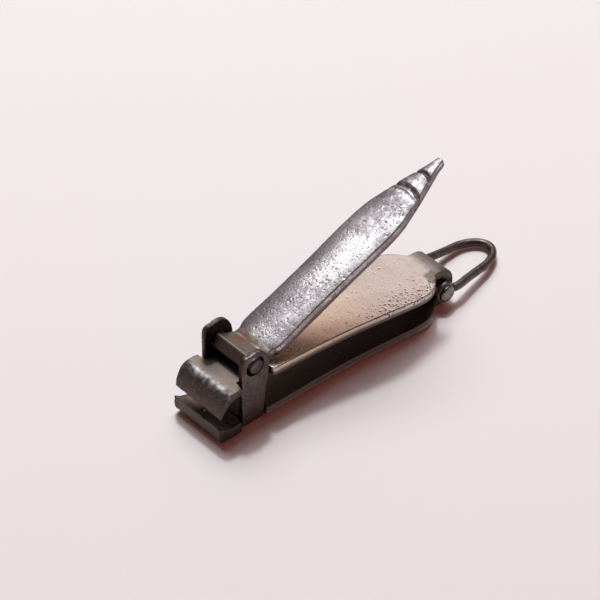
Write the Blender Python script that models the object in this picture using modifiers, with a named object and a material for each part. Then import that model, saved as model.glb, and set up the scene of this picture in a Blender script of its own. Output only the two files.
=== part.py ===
"""Pocket nail clipper with a folded spring body, a stirrup yoke, a lever and a wire bail.

Frame: metres, +Z up. X runs from the jaws (-X) to the bail (+X), the middle plane is Y = 0,
and Z = 0 is the surface that the clipper lies on. The origin is under the middle of its length.
Stations along the clipper are given in millimetres behind the front of the lower jaw.
"""
import math

import bmesh
import bpy
from mathutils import Matrix

MM = 0.001

# Driving dimensions, in millimetres.
LENGTH = 63.2                # front of the lower jaw to the end of the bail
STRIP = 1.5                  # thickness of the folded body strip
JAW_HALF = 5.2               # half width of both jaws
WAIST_HALF = 3.55            # half width of the leaves between the yoke's ears
NECK_HALF = 3.14             # half width of the folded neck
JAW_BACK = 4.55              # where the jaws end and the waist starts
UPPER_WAIST_END = 10.6
LOWER_WAIST_END = 9.4
FOLD_X = 46.6                # centre of the rear fold
FOLD_Z = 3.38
SEAM_X = 46.3                # where the upper leaf meets the fold
SEAM_GAP = 0.12
LEAF_HINGE_Z = 6.0           # height of the flexing line at the seam
LEAF_ORIGIN = 10.0           # station from which both leaves' curves are measured
LEAF_UNIT = 10.0             # length over which their rise and fall are given
UPPER_TOP = (9.47, 0.66, 0.03)   # height there, fall over one unit, and its growth
LOWER_BOTTOM = (0.75, 0.0579)    # height there, and how the fall grows

YOKE_OUTER = 4.65            # half width across the ears
YOKE_STRAP = 0.9             # thickness of the yoke's strap
YOKE_BEND_OUTER = 1.1        # radii of the bends between the strap's floor and its ears
YOKE_BEND_INNER = 0.35
YOKE_MIDDLE = 7.5            # station of the middle of the strap
EAR_HOLE = (7.6, 11.2, 1.68)     # station, height, radius

PIVOT_X = 7.9                # axis of the lever
PIVOT_Z = 10.88
PIN_RADIUS = 1.2
PIN_HALF = 4.5
PIN_CLEARANCE = 0.05
PIN_CHAMFER = 0.12

NOSE_HALF = 3.6              # half width of the lever between the ears
HUB_RADIUS = 1.6
ARM_START = (10.4, 11.3)     # station and height of the bend on top of the lever
ARM_END = (49.1, 26.1)
ARM_BOW = 0.15               # rise of the arm's top over a straight line
ARM_THICK = (2.2, 1.4)       # at the bend and at the tip
GROOVES = ((42.4, 0.75, 0.55), (45.6, 0.6, 0.45))   # station, half width, depth

BAIL_AXIS = (47.4, 2.95)     # station and height of the bail's pin
WIRE_RADIUS = 0.66
EYE_RADIUS = 1.85
EYE_INNER = 3.4              # inner face of an eye
EYE_OUTER = 4.3              # outer face of an eye
EYE_CLEARANCE = 0.08
LEG_START = (1.55, 3.95, 2.93)   # where the legs leave the eyes: station from the pin, Y, height
# Bends of the wire's centre line from one leg round to the other: station, Y and height.
# The loop has been bent a little towards +Y, and its end has dropped to the surface.
BAIL_BENDS = (
    (50.4, -4.05, 2.85),
    (52.8, -3.5, 2.55),
    (55.6, -2.9, 2.1),
    (58.3, -2.3, 1.7),
    (60.5, -1.35, 1.35),
    (62.0, 0.0, 1.12),
    (62.53, 1.4, 1.0),
    (62.15, 2.75, 0.95),
    (60.9, 3.9, 0.95),
    (58.9, 4.6, 1.05),
    (56.2, 4.63, 1.4),
    (53.2, 4.38, 2.1),
    (50.5, 4.2, 2.75),
)
RIVET_RADIUS = 0.82
RIVET_HEAD = 1.45
RIVET_HEAD_Y = 4.38
RIVET_END_Y = 5.05

# Sizes of the blanks and cutters, which all reach past what they cut.
CUT_MARGIN = 1.0
DRILL_HALF = 7.0             # half length of the drills
BLANK_HALF = 8.0             # half width of the leaf and yoke blanks
LEVER_BLANK_HALF = 6.0       # half width of the lever's blank
LEAF_CUT_HALF = 12.0         # half height of the leaves' plan outlines
LEVER_CUT_HALF = 20.0
LEVER_CUT_Z = 18.0           # middle of the lever's plan outline
YOKE_CUT_HALF = 6.0          # half length of the yoke's cross section
EAR_CUT_TOP = 16.0           # top of that section, over both ears
TRIM_Y = -5.0                # the cutter that lowers the near ear
TRIM_HALF = 4.0

# Fineness of the meshes.
SPAN_STEPS = 3               # points in each span of a smooth outline
WIRE_STEPS = 4
PIN_SIDES = 48
EYE_SIDES = 40
RIVET_SIDES = 32
DOME_STEPS = 5
WELD = 1e-6                  # metres within which points are merged
SHARP_ANGLE = 30.0           # degrees over which an edge is shaded sharp


def clear_scene():
    for obj in list(bpy.data.objects):
        bpy.data.objects.remove(obj, do_unlink=True)


def new_collection(name):
    collection = bpy.data.collections.new(name)
    bpy.context.scene.collection.children.link(collection)
    return collection


def shift(station):
    """World X of a station along the clipper, both in millimetres."""
    return station - LENGTH / 2.0


def steel(name, colour, roughness):
    material = bpy.data.materials.new(name)
    material.use_nodes = True
    shader = material.node_tree.nodes["Principled BSDF"]
    shader.inputs["Base Color"].default_value = (*colour, 1.0)
    shader.inputs["Metallic"].default_value = 1.0
    shader.inputs["Roughness"].default_value = roughness
    return material


def arc(cx, cz, radius, start, end, steps):
    """Points on a circle from one angle to another, in degrees."""
    points = []
    for i in range(steps + 1):
        angle = math.radians(start + (end - start) * i / steps)
        points.append((cx + radius * math.cos(angle), cz + radius * math.sin(angle)))
    return points


def smooth(knots, per_span):
    """A Catmull-Rom line through the knots."""
    line = []
    last = len(knots) - 1
    for i in range(last):
        p0 = knots[max(i - 1, 0)]
        p1 = knots[i]
        p2 = knots[i + 1]
        p3 = knots[min(i + 2, last)]
        for k in range(per_span):
            t = k / per_span
            line.append(tuple(catmull(p0[j], p1[j], p2[j], p3[j], t) for j in range(len(p0))))
    line.append(knots[last])
    return line


def catmull(a, b, c, d, t):
    linear = c - a
    square = 2 * a - 5 * b + 4 * c - d
    cube = 3 * b - a - 3 * c + d
    return 0.5 * (2 * b + linear * t + square * t * t + cube * t ** 3)


def slab(name, outline, half, turn, collection):
    """A flat outline in millimetres, filled and extruded to both sides, as a mesh object."""
    curve = bpy.data.curves.new(name, "CURVE")
    curve.dimensions = "2D"
    curve.fill_mode = "BOTH"
    curve.extrude = half * MM
    spline = curve.splines.new("POLY")
    spline.points.add(len(outline) - 1)
    for point, (u, v) in zip(spline.points, outline):
        point.co = (u * MM, v * MM, 0.0, 1.0)
    spline.use_cyclic_u = True
    drawn = bpy.data.objects.new(name + "_curve", curve)
    collection.objects.link(drawn)
    drawn.matrix_world = turn
    return as_mesh(name, drawn, collection)


def as_mesh(name, drawn, collection):
    """Turn a curve object into a closed mesh object that stands in its place."""
    bpy.context.view_layer.update()
    evaluated = drawn.evaluated_get(bpy.context.evaluated_depsgraph_get())
    mesh = bpy.data.meshes.new_from_object(evaluated)
    mesh.name = name
    place = drawn.matrix_world.copy()
    bpy.data.objects.remove(drawn, do_unlink=True)
    weld = bmesh.new()
    weld.from_mesh(mesh)
    bmesh.ops.remove_doubles(weld, verts=weld.verts, dist=WELD)
    bmesh.ops.transform(weld, matrix=place, verts=weld.verts)
    bmesh.ops.recalc_face_normals(weld, faces=weld.faces)
    weld.to_mesh(mesh)
    weld.free()
    solid = bpy.data.objects.new(name, mesh)
    collection.objects.link(solid)
    return solid


def side_turn():
    """Stands an outline up in the XZ plane, so that it is extruded along Y."""
    return Matrix.Rotation(math.radians(90.0), 4, "X")


def top_turn(height):
    return Matrix.Translation((0.0, 0.0, height * MM))


def end_turn(x):
    """Stands an outline up in the YZ plane, so that it is extruded along X."""
    stand = Matrix.Rotation(math.radians(90.0), 4, "Z") @ Matrix.Rotation(math.radians(90.0), 4, "X")
    return Matrix.Translation((x * MM, 0.0, 0.0)) @ stand


def combine(target, tool, operation, cutters):
    """Adds a Boolean to the target and files its tool with the cutters."""
    step = target.modifiers.new(operation.title(), "BOOLEAN")
    step.operation = operation
    step.solver = "EXACT"
    step.object = tool
    tool.hide_render = True
    tool.display_type = "WIRE"
    for collection in list(tool.users_collection):
        collection.objects.unlink(tool)
    cutters.objects.link(tool)


def round_bar(name, station, height, radius, half, sides, collection):
    """A cylinder along Y through a station and height."""
    bar = bmesh.new()
    bmesh.ops.create_cone(bar, cap_ends=True, segments=sides, radius1=radius * MM,
                          radius2=radius * MM, depth=2 * half * MM)
    place = Matrix.Translation((shift(station) * MM, 0.0, height * MM)) @ side_turn()
    bmesh.ops.transform(bar, matrix=place, verts=bar.verts)
    mesh = bpy.data.meshes.new(name)
    bar.to_mesh(mesh)
    bar.free()
    obj = bpy.data.objects.new(name, mesh)
    collection.objects.link(obj)
    return obj


def put_origin(obj, station, height):
    """Moves the object's origin to an axis along Y, and leaves its shape where it is."""
    origin = Matrix.Translation((shift(station) * MM, 0.0, height * MM))
    obj.data.transform(origin.inverted())
    obj.matrix_world = origin


def finish(obj, material):
    obj.data.materials.clear()
    obj.data.materials.append(material)
    obj.data.shade_smooth()
    obj.data.set_sharp_from_angle(angle=math.radians(SHARP_ANGLE))


def placed(line):
    return [(shift(x), z) for x, z in line]


def mirrored(half_line):
    """A closed outline from its +Y half, given from front to back."""
    back = [(x, -y) for x, y in reversed(half_line)]
    return placed(half_line + back)


def upper_top(x):
    """Height of the upper leaf's top face behind the waist."""
    height, fall, bend = UPPER_TOP
    along = (x - LEAF_ORIGIN) / LEAF_UNIT
    return height - fall * along - bend * along * along


def lower_bottom(x):
    """Height of the lower leaf's bottom face behind the waist."""
    height, bend = LOWER_BOTTOM
    along = (x - LEAF_ORIGIN) / LEAF_UNIT
    return height - bend * along * along


def leaf_flank():
    """Half widths of a leaf behind its waist, which both leaves share."""
    belly = [(14.0, 5.25), (20.0, 5.25), (26.0, 5.38), (32.0, 5.75), (36.0, 6.0), (39.3, 6.2)]
    shoulder = [(41.6, 6.12), (43.2, 5.62), (44.5, 4.75), (45.9, NECK_HALF)]
    return smooth(belly + shoulder, SPAN_STEPS)


def leaf_outline(waist_end, back):
    line = [(-CUT_MARGIN, JAW_HALF), (JAW_BACK, JAW_HALF), (JAW_BACK, WAIST_HALF)]
    line += [(waist_end, WAIST_HALF), (waist_end, 5.25)]
    line += leaf_flank()
    line.append((back, NECK_HALF))
    return mirrored(line)


def upper_leaf(parts, cutters):
    jaw_front = [(0.3, 5.25), (0.47, 6.4), (0.85, 7.4), (1.3, 8.2), (1.8, 8.68), (2.5, 8.95)]
    saddle = [(3.4, 8.98), (4.7, 8.93), (6.3, 8.92), (8.2, 9.02), (10.2, upper_top(10.2))]
    top = smooth(jaw_front + saddle[:1], SPAN_STEPS)[:-1] + smooth(saddle, SPAN_STEPS)
    leaf_end = SEAM_X - SEAM_GAP / 2.0
    leaf = [(x, upper_top(x)) for x in (15.0, 20.0, 25.0, 30.0, 35.0, 40.0, leaf_end)]
    under = [(x, z - STRIP) for x, z in reversed(leaf)]
    under += [(10.0, upper_top(10.0) - STRIP), (7.0, 7.62), (4.6, 7.6)]
    hollow = smooth([(3.6, 7.68), (2.4, 7.3), (1.4, 6.4), (0.5, 5.25)], SPAN_STEPS)
    body = slab("upper_leaf", placed(top + leaf + under + hollow), BLANK_HALF, side_turn(),
                parts)
    outline = slab("upper_leaf_outline", leaf_outline(UPPER_WAIST_END, SEAM_X + CUT_MARGIN),
                   LEAF_CUT_HALF, top_turn(FOLD_Z), cutters)
    combine(body, outline, "INTERSECT", cutters)
    put_origin(body, SEAM_X, LEAF_HINGE_Z)
    finish(body, steel("upper_leaf_steel", (0.46, 0.42, 0.38), 0.4))
    return body


def lower_leaf(parts, cutters):
    jaw = [(0.0, 1.4), (0.12, 0.95), (0.42, 0.62), (0.9, 0.47), (JAW_BACK - 0.05, 0.47)]
    strap_seat = [(JAW_BACK, 0.98), (LOWER_WAIST_END - 0.05, 0.98), (LOWER_WAIST_END, 0.75)]
    under = [(x, lower_bottom(x)) for x in (15.0, 20.0, 25.0, 30.0, 35.0, 40.0, 44.0)]
    fold_outer = arc(FOLD_X, FOLD_Z, FOLD_Z, -90.0, 90.0, 18)
    start = SEAM_X + SEAM_GAP / 2.0
    seam = [(start, 2 * FOLD_Z), (start, 2 * FOLD_Z - STRIP)]
    fold_inner = arc(FOLD_X, FOLD_Z, FOLD_Z - STRIP, 90.0, -90.0, 12)
    top = [(x, lower_bottom(x) + STRIP) for x in (44.0, 40.0, 35.0, 30.0, 25.0, 20.0, 15.0, 10.0)]
    bevel = [(4.5, 2.3), (2.6, 2.36), (1.3, 2.62), (0.16, 3.36), (0.02, 3.3)]
    outline = jaw + strap_seat + under + fold_outer + seam + fold_inner + top + bevel
    body = slab("lower_leaf", placed(outline), BLANK_HALF, side_turn(), parts)
    plan = slab("lower_leaf_outline", leaf_outline(LOWER_WAIST_END, FOLD_X + FOLD_Z + CUT_MARGIN),
                LEAF_CUT_HALF, top_turn(FOLD_Z), cutters)
    combine(body, plan, "INTERSECT", cutters)
    finish(body, steel("lower_leaf_steel", (0.34, 0.30, 0.28), 0.45))
    return body


def yoke_section():
    """The channel of the yoke, seen along the clipper."""
    inner = YOKE_OUTER - YOKE_STRAP
    outer_y = YOKE_OUTER - YOKE_BEND_OUTER
    inner_y = inner - YOKE_BEND_INNER
    inner_z = YOKE_STRAP + YOKE_BEND_INNER
    section = arc(outer_y, YOKE_BEND_OUTER, YOKE_BEND_OUTER, -90.0, 0.0, 6)
    section += [(YOKE_OUTER, EAR_CUT_TOP), (inner, EAR_CUT_TOP)]
    section += arc(inner_y, inner_z, YOKE_BEND_INNER, 360.0, 270.0, 4)
    section += arc(-inner_y, inner_z, YOKE_BEND_INNER, 270.0, 180.0, 4)
    section += [(-inner, EAR_CUT_TOP), (-YOKE_OUTER, EAR_CUT_TOP)]
    section += arc(-outer_y, YOKE_BEND_OUTER, YOKE_BEND_OUTER, 180.0, 270.0, 6)
    return section


def yoke(parts, cutters):
    front = [(5.0, -CUT_MARGIN), (5.0, 12.9), (5.15, 13.65), (5.6, 14.15), (6.2, 14.35)]
    crown = [(6.6, 14.25), (7.1, 14.42), (7.9, 14.5), (8.8, 14.25), (9.6, 13.6), (10.15, 12.55)]
    back = [(10.4, 11.3), (10.4, 10.4), (10.1, 8.1), (9.65, 5.3), (9.2, 2.5), (8.85, -CUT_MARGIN)]
    body = slab("yoke", placed(front + crown + back), BLANK_HALF, side_turn(), parts)
    channel = slab("yoke_section", yoke_section(), YOKE_CUT_HALF, end_turn(shift(YOKE_MIDDLE)), cutters)
    combine(body, channel, "INTERSECT", cutters)
    low_front = [(4.0, 15.5), (4.0, 12.1), (5.0, 12.1), (5.15, 12.85), (5.6, 13.35), (6.2, 13.55)]
    low_crown = [(6.6, 13.48), (7.1, 13.64), (7.9, 13.7), (8.8, 13.5), (9.6, 13.0), (10.2, 12.2)]
    low_back = [(10.4, 11.3), (11.5, 11.3), (11.5, 15.5)]
    near_side = Matrix.Translation((0.0, TRIM_Y * MM, 0.0)) @ side_turn()
    trim = slab("low_ear_trim", placed(low_front + low_crown + low_back), TRIM_HALF, near_side, cutters)
    combine(body, trim, "DIFFERENCE", cutters)
    hole = round_bar("ear_holes", *EAR_HOLE, DRILL_HALF, PIN_SIDES, cutters)
    combine(body, hole, "DIFFERENCE", cutters)
    finish(body, steel("yoke_steel", (0.28, 0.24, 0.23), 0.5))
    return body


def arm_top(x):
    along = (x - ARM_START[0]) / (ARM_END[0] - ARM_START[0])
    straight = ARM_START[1] + (ARM_END[1] - ARM_START[1]) * along
    return straight + 4.0 * ARM_BOW * along * (1.0 - along)


def arm_under(x):
    """The arm's under side, measured square to the arm from its top."""
    run = ARM_END[0] - ARM_START[0]
    slope = math.atan2(ARM_END[1] - ARM_START[1], run)
    along = (x - ARM_START[0]) / run
    thick = ARM_THICK[0] + (ARM_THICK[1] - ARM_THICK[0]) * along
    return (x + thick * math.sin(slope), arm_top(x) - thick * math.cos(slope))


def lever_profile():
    top = [(6.2, 10.78), (7.1, 12.8), (9.6, 11.62), ARM_START]
    stations = [11.2, 16.0, 22.0, 28.0, 34.0, 39.0]
    for station, half, depth in GROOVES:
        stations += [station - half, station, station + half]
    stations.append(ARM_END[0] - 0.35)
    for x in stations:
        depth = sum(d for s, _, d in GROOVES if abs(s - x) < 1e-9)
        top.append((x, arm_top(x) - depth))
    tip = [(ARM_END[0], ARM_END[1] - 0.45), (ARM_END[0] + 0.2, ARM_END[1] - 1.0)]
    under = [arm_under(x) for x in (48.4, 42.0, 34.0, 26.0, 18.0, 12.6)]
    heel = [(12.2, 9.74), (11.5, 9.62), (10.4, 9.6), (9.2, 9.42)]
    hub = arc(PIVOT_X, PIVOT_Z, HUB_RADIUS, -80.0, -165.0, 8)
    return top + tip + under + heel + hub


def lever(parts, cutters):
    body = slab("lever", placed(lever_profile()), LEVER_BLANK_HALF, side_turn(), parts)
    edge = [(2.0, NOSE_HALF), (11.45, NOSE_HALF), (11.75, 3.8), (12.4, 4.03), (14.0, 4.05)]
    waist = [(19.0, 3.88), (25.0, 3.88), (31.0, 4.0), (35.0, 4.0)]
    point = [(38.0, 3.6), (40.5, 2.98), (43.5, 2.06), (46.5, 1.05), (48.3, 0.5), (48.9, 0.22)]
    line = edge + smooth(waist + point, SPAN_STEPS) + [(ARM_END[0] + CUT_MARGIN, 0.1)]
    outline = slab("lever_outline", mirrored(line), LEVER_CUT_HALF, top_turn(LEVER_CUT_Z), cutters)
    combine(body, outline, "INTERSECT", cutters)
    bore = round_bar("lever_bore", PIVOT_X, PIVOT_Z, PIN_RADIUS + PIN_CLEARANCE, DRILL_HALF, PIN_SIDES,
                     cutters)
    combine(body, bore, "DIFFERENCE", cutters)
    put_origin(body, PIVOT_X, PIVOT_Z)
    finish(body, steel("lever_steel", (0.62, 0.60, 0.60), 0.3))
    return body


def lever_pin(parts):
    body = round_bar("lever_pin", PIVOT_X, PIVOT_Z, PIN_RADIUS, PIN_HALF, PIN_SIDES, parts)
    put_origin(body, PIVOT_X, PIVOT_Z)
    chamfer = body.modifiers.new("Chamfer", "BEVEL")
    chamfer.width = PIN_CHAMFER * MM
    chamfer.segments = 2
    chamfer.limit_method = "ANGLE"
    chamfer.angle_limit = math.radians(60.0)
    finish(body, steel("lever_pin_steel", (0.40, 0.37, 0.35), 0.4))
    return body


def loop_path():
    """Centre line of the bail's wire, from one eye round to the other."""
    out, across, height = LEG_START
    start = (BAIL_AXIS[0] + out, -across, height)
    end = (BAIL_AXIS[0] + out, across, height)
    return smooth([start, *BAIL_BENDS, end], WIRE_STEPS)


def wire(name, path, radius, collection):
    curve = bpy.data.curves.new(name, "CURVE")
    curve.dimensions = "3D"
    curve.bevel_depth = radius * MM
    curve.bevel_resolution = 3
    curve.use_fill_caps = True
    spline = curve.splines.new("POLY")
    spline.points.add(len(path) - 1)
    for point, (x, y, z) in zip(spline.points, path):
        point.co = (shift(x) * MM, y * MM, z * MM, 1.0)
    drawn = bpy.data.objects.new(name + "_curve", curve)
    collection.objects.link(drawn)
    return as_mesh(name, drawn, collection)


def bail(parts, cutters):
    station, height = BAIL_AXIS
    body = wire("bail", loop_path(), WIRE_RADIUS, parts)
    middle = (EYE_INNER + EYE_OUTER) / 2.0
    half = (EYE_OUTER - EYE_INNER) / 2.0
    for side in (-1, 1):
        name = "bail_eye_left" if side < 0 else "bail_eye_right"
        eye = round_bar(name, station, height, EYE_RADIUS, half, EYE_SIDES, cutters)
        eye.data.transform(Matrix.Translation((0.0, side * middle * MM, 0.0)))
        combine(body, eye, "UNION", cutters)
    bore = round_bar("bail_bore", station, height, RIVET_RADIUS + EYE_CLEARANCE, DRILL_HALF, EYE_SIDES,
                     cutters)
    combine(body, bore, "DIFFERENCE", cutters)
    put_origin(body, station, height)
    finish(body, steel("bail_steel", (0.30, 0.27, 0.26), 0.4))
    return body


def bail_rivet(parts):
    """A shank with a domed head at each end, turned about Y."""
    rise = RIVET_END_Y - RIVET_HEAD_Y
    dome = []
    for i in range(DOME_STEPS + 1):
        angle = math.radians(90.0 * i / DOME_STEPS)
        dome.append((RIVET_HEAD * math.sin(angle), RIVET_HEAD_Y + rise * math.cos(angle)))
    half = dome + [(RIVET_RADIUS, RIVET_HEAD_Y)]
    profile = half + [(r, -z) for r, z in reversed(half)]
    mesh = bpy.data.meshes.new("bail_rivet")
    points = [(r * MM, 0.0, z * MM) for r, z in profile]
    edges = [(i, i + 1) for i in range(len(points) - 1)]
    mesh.from_pydata(points, edges, [])
    body = bpy.data.objects.new("bail_rivet", mesh)
    parts.objects.link(body)
    axis = Matrix.Translation((shift(BAIL_AXIS[0]) * MM, 0.0, BAIL_AXIS[1] * MM))
    body.matrix_world = axis @ side_turn()
    turn = body.modifiers.new("Turn", "SCREW")
    turn.steps = RIVET_SIDES
    turn.render_steps = RIVET_SIDES
    turn.use_merge_vertices = True
    turn.merge_threshold = WELD
    finish(body, steel("bail_rivet_steel", (0.36, 0.32, 0.31), 0.35))
    return body


def build():
    clear_scene()
    parts = new_collection("nail_clipper")
    cutters = new_collection("cutters")
    lower_leaf(parts, cutters)
    upper_leaf(parts, cutters)
    yoke(parts, cutters)
    lever(parts, cutters)
    lever_pin(parts)
    bail(parts, cutters)
    bail_rivet(parts)


build()
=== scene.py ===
"""Looks of the pocket nail clipper: fine meshes and aged-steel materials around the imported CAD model.

Shapes are worked out in millimetres. Stations run along the clipper from the front of the lower jaw,
Y is across it and Z is up from the surface it lies on.
"""
import math

import bmesh
import bpy
import numpy as np
from mathutils import Matrix, Vector, kdtree, noise


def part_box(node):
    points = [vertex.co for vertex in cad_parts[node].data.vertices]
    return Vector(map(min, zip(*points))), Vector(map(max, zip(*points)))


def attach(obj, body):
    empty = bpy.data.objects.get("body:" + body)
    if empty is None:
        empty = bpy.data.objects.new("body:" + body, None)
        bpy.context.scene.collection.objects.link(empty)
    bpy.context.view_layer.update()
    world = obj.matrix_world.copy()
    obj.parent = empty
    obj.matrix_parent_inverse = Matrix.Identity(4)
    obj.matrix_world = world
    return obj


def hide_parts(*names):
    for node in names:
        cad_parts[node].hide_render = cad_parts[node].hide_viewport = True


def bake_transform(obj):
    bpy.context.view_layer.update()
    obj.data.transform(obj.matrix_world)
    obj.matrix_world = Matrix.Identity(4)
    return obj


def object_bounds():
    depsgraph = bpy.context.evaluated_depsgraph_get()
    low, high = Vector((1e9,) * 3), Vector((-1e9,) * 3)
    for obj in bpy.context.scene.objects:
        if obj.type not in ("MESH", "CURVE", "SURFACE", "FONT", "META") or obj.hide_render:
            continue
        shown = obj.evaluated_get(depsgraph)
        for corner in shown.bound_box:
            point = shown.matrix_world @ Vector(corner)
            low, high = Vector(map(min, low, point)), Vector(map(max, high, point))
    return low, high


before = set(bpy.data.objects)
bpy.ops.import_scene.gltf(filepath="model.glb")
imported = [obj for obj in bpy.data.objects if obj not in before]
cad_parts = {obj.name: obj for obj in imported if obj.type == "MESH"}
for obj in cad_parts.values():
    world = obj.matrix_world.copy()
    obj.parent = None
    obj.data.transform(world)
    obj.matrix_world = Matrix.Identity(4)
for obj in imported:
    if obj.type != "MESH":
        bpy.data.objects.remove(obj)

cad_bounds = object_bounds()

MM = 0.001
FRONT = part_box("lower_leaf")[0].x            # world X of station 0
SCENE = bpy.context.scene

# Stations, heights and sizes shared by several pieces, in millimetres.
PIVOT = (7.9, 10.88)             # axis of the lever
PIN_RADIUS = 1.2
BAIL_AXIS = (47.4, 2.95)
FOLD = (46.6, 3.38)              # centre of the rear fold, whose outer radius is its height
NECK_HALF = 3.14
EYE_INNER, EYE_OUTER = 3.4, 4.3
DRILL_REACH = 7.0                # half length of the drills, longer than any hole is deep


# ---------------------------------------------------------------- meshes

def station(point):
    """World position of a point given as station, Y and height in millimetres."""
    return Vector((FRONT + point[0] * MM, point[1] * MM, point[2] * MM))


def mesh_object(name, points, faces):
    """A smooth-shaded mesh object from points in millimetres."""
    world = np.asarray(points, float) * MM
    world[:, 0] += FRONT
    mesh = bpy.data.meshes.new(name)
    mesh.from_pydata(world.tolist(), [], faces)
    mesh.update()
    mesh.shade_smooth()
    obj = bpy.data.objects.new(name, mesh)
    SCENE.collection.objects.link(obj)
    return obj


def points_of(obj):
    """The mesh's points in millimetres, with stations along X."""
    flat = np.zeros(len(obj.data.vertices) * 3)
    obj.data.vertices.foreach_get("co", flat)
    points = flat.reshape(-1, 3) / MM
    points[:, 0] -= FRONT / MM
    return points


def set_points(obj, points):
    world = points * MM
    world[:, 0] += FRONT
    obj.data.vertices.foreach_set("co", world.ravel())
    obj.data.update()


def normals_of(obj):
    flat = np.zeros(len(obj.data.vertices) * 3)
    obj.data.vertices.foreach_get("normal", flat)
    return flat.reshape(-1, 3)


def paint(obj, name, values):
    """Stores one number for each point of the mesh, which the material reads by name."""
    layer = obj.data.attributes.get(name) or obj.data.attributes.new(name, "FLOAT", "POINT")
    layer.data.foreach_set("value", np.asarray(values, np.float32))


def layer_of(obj, name):
    values = np.zeros(len(obj.data.vertices))
    obj.data.attributes[name].data.foreach_get("value", values)
    return values


def keep_rest(obj):
    """Stores where each point is at rest, in millimetres, so that patterns stick to the metal."""
    layer = obj.data.attributes.new("rest", "FLOAT_VECTOR", "POINT")
    layer.data.foreach_set("vector", points_of(obj).astype(np.float32).ravel())


def waves(points, size, seed):
    """Smooth noise from -1 to 1 at each point, with features of about that many millimetres."""
    offset = Vector((seed * 7.31, seed * 3.17, seed * 5.71))
    return np.array([noise.noise(Vector(p) / size + offset) for p in points])


def smoothstep(low, high, x):
    t = np.clip((np.asarray(x, float) - low) / (high - low), 0.0, 1.0)
    return t * t * (3.0 - 2.0 * t)


def catmull(knots, per_span):
    """A Catmull-Rom line through the knots, as an array."""
    knots = np.asarray(knots, float)
    padded = np.vstack([2 * knots[0] - knots[1], knots, 2 * knots[-1] - knots[-2]])
    line = []
    for i in range(len(knots) - 1):
        a, b, c, d = padded[i:i + 4]
        for t in np.arange(per_span) / per_span:
            line.append(0.5 * (2 * b + (c - a) * t + (2 * a - 5 * b + 4 * c - d) * t * t
                               + (3 * b - a - 3 * c + d) * t ** 3))
    line.append(knots[-1])
    return np.array(line)


def resample(rows, spacing):
    """Rows of numbers taken again at even steps along the line that they draw."""
    rows = np.asarray(rows, float)
    steps = np.linalg.norm(np.diff(rows, axis=0), axis=1)
    along = np.concatenate([[0.0], np.cumsum(steps)])
    count = max(2, int(round(along[-1] / spacing)) + 1)
    even = np.linspace(0.0, along[-1], count)
    return np.column_stack([np.interp(even, along, rows[:, k]) for k in range(rows.shape[1])])


def soften(rows, spacing, width):
    """Rounds the corners of evenly spaced rows over about that many millimetres."""
    reach = max(1, int(round(2.0 * width / spacing)))
    taps = np.exp(-0.5 * (np.arange(-reach, reach + 1) * spacing / width) ** 2)
    taps /= taps.sum()
    padded = np.vstack([2 * rows[0] - rows[reach:0:-1], rows, 2 * rows[-1] - rows[-2:-reach - 2:-1]])
    return np.column_stack([np.convolve(padded[:, k], taps, "valid") for k in range(rows.shape[1])])


MOST_ROUND = 0.45                # share of a section that the radius of its edges may take


def ring_shape(half, thick, radius, flat_count, arc_count):
    """A rounded rectangle: Y, depth from the top face, and how much each point is on an edge.

    The first half of the points runs over the top from -Y to +Y, the second half back underneath.
    """
    radius = min(radius, MOST_ROUND * thick, MOST_ROUND * half)
    angles = np.linspace(0.0, math.pi / 2.0, arc_count + 1)
    arc_y = half - radius + radius * np.cos(angles)
    arc_d = radius - radius * np.sin(angles)
    on_edge = np.sin(2.0 * angles)
    flat = np.linspace(-(half - radius), half - radius, flat_count + 2)[1:-1]
    side = radius + (thick - 2 * radius) / 3.0
    y = np.concatenate([[-half], -arc_y, flat, arc_y[::-1], [half]])
    depth = np.concatenate([[side], arc_d, np.zeros(flat_count), arc_d[::-1], [side]])
    edge = np.concatenate([[0.0], on_edge, np.zeros(flat_count), on_edge[::-1], [0.0]])
    y = np.concatenate([y, y[::-1]])
    depth = np.concatenate([depth, thick - depth[::-1]])
    edge = np.concatenate([edge, edge[::-1]])
    return y, depth, edge


def rounded_end(rows, radius, steps):
    """Extra rows that round off the first end of a bar. A row is outer x, z, inner x, z, half width."""
    first = rows[0]
    through = first[2:4] - first[0:2]
    through /= np.linalg.norm(through)
    ahead = (rows[3, 0:2] + rows[3, 2:4] - first[0:2] - first[2:4]) / 2.0
    ahead /= np.linalg.norm(ahead)
    extra = []
    for angle in np.linspace(0.0, math.pi / 2.0, steps + 1)[:-1]:
        inset = radius * (1.0 - math.sin(angle))
        forward = radius * (1.0 - math.cos(angle))
        row = first.copy()
        row[0:2] += through * inset + ahead * forward
        row[2:4] += -through * inset + ahead * forward
        row[4] -= inset
        extra.append(row)
    along = (rows[:, 0:2] + rows[:, 2:4] - first[0:2] - first[2:4]) @ ahead / 2.0
    return np.vstack([extra, rows[along >= radius]])


CAP_ROWS = 9                     # faces through the thickness at a bar's ends


def end_grid(ring, first, start):
    """Closes one end of a bar with a grid, so that it can be dented too. Gives its points and faces."""
    half = len(ring) // 2
    inner = range(1, half - 1)
    columns = []
    extra = []
    for i in inner:
        column = [first + i]
        for m in range(1, CAP_ROWS):
            share = m / CAP_ROWS
            extra.append(ring[i] * (1.0 - share) + ring[len(ring) - 1 - i] * share)
            column.append(start + len(extra) - 1)
        column.append(first + len(ring) - 1 - i)
        columns.append(column)
    faces = [(first, *columns[0], first + len(ring) - 1),
             (first + half - 1, *columns[-1], first + half)]
    for left, right in zip(columns, columns[1:]):
        for m in range(CAP_ROWS):
            faces.append((left[m], right[m], right[m + 1], left[m + 1]))
    return np.array(extra), faces


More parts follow.
